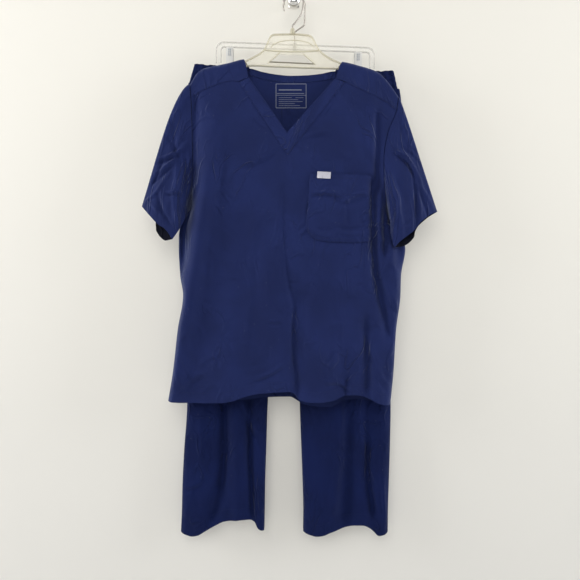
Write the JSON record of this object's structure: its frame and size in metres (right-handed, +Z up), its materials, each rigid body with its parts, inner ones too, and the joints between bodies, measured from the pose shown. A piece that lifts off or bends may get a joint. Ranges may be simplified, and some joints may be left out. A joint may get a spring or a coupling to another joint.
{
  "type": "medical scrub set, a short-sleeved top and trousers, on two hangers on a wall hook",
  "caption": "Short-sleeved V-neck scrub top over straight elastic-waist scrub trousers, hung flat on two hangers from a wall hook.",
  "frame": {"origin": "centre of the wall hook plate's back face, on the wall", "axes": "+Y into the wall, +Z up, the garments' fronts face -Y; left and right are as seen from the front, +X to the right"},
  "size_m": [0.6588, 0.1053, 1.2852],
  "materials": {
    "navy_cloth": "matt stretch twill with a soft sheen",
    "label_cloth": "plain woven ribbon, bare",
    "frosted_plastic": "yellowed translucent moulding",
    "clear_plastic": "clear moulding",
    "clip_plastic": "pale grey moulding",
    "hook_wire": "plated wire",
    "chrome": "polished"
  },
  "bodies": {
    "root": {"top_front": "navy_cloth", "top_back": "navy_cloth", "sleeve_left": "navy_cloth", "sleeve_right": "navy_cloth", "neck_band": "navy_cloth", "back_neck_binding": "navy_cloth", "chest_pocket": "navy_cloth", "pocket_label": "label_cloth", "trouser_front_left": "navy_cloth", "trouser_front_right": "navy_cloth", "trouser_back_left": "navy_cloth", "trouser_back_right": "navy_cloth", "waistband": "navy_cloth", "top_hanger": "frosted_plastic", "top_hanger_hook": "hook_wire", "trouser_hanger": "clear_plastic", "trouser_hanger_hook": "hook_wire", "clip_left": "clip_plastic", "clip_right": "clip_plastic", "wall_hook": "chrome"}
  },
  "joints": []
}
